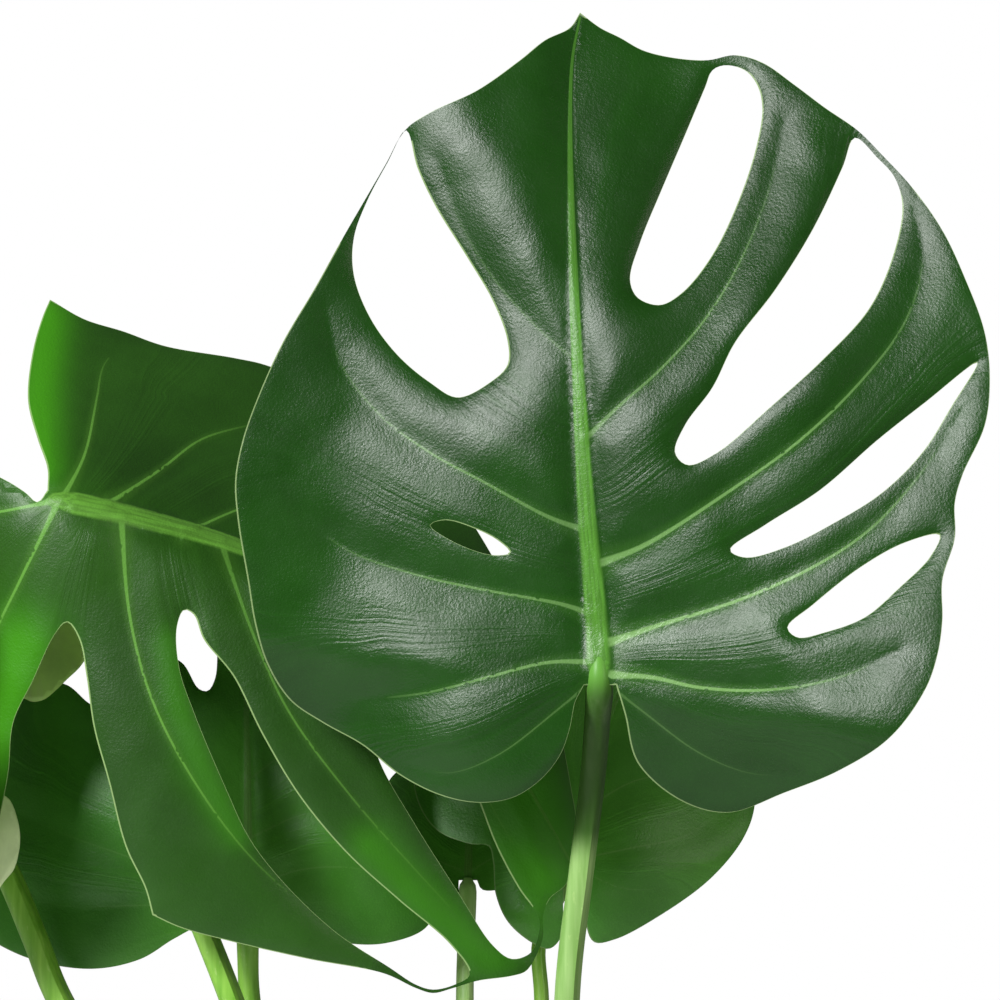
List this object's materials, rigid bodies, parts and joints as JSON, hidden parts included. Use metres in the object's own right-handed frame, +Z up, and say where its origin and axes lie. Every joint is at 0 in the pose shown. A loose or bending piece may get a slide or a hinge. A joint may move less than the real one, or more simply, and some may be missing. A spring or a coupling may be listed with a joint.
{
  "type": "potted monstera plant",
  "caption": "Split-leaf houseplant in a plain round tapered pot: broad glossy green blades with slots between their side veins, on long curved stalks that rise from short canes in soil.",
  "frame": {"origin": "centre of the pot's flat underside", "axes": "+Z up, along the plant's height; the leaf blades face -Y and spread along X"},
  "size_m": [0.6717, 0.2547, 0.901],
  "materials": {
    "pot": "satin",
    "soil": "matte",
    "cane": "matte",
    "stalk": "satin",
    "blade": "glossy"
  },
  "bodies": {
    "root": {"pot": "pot", "soil": "soil", "left_cane": "cane", "right_cane": "cane", "front_stalk": "stalk", "left_stalk": "stalk", "low_left_stalk": "stalk", "back_right_stalk": "stalk", "back_middle_stalk": "stalk", "outer_stalk": "stalk", "front_blade": "blade", "left_blade": "blade", "low_left_blade": "blade", "back_right_blade": "blade", "back_middle_blade": "blade", "outer_blade": "blade"}
  },
  "joints": []
}
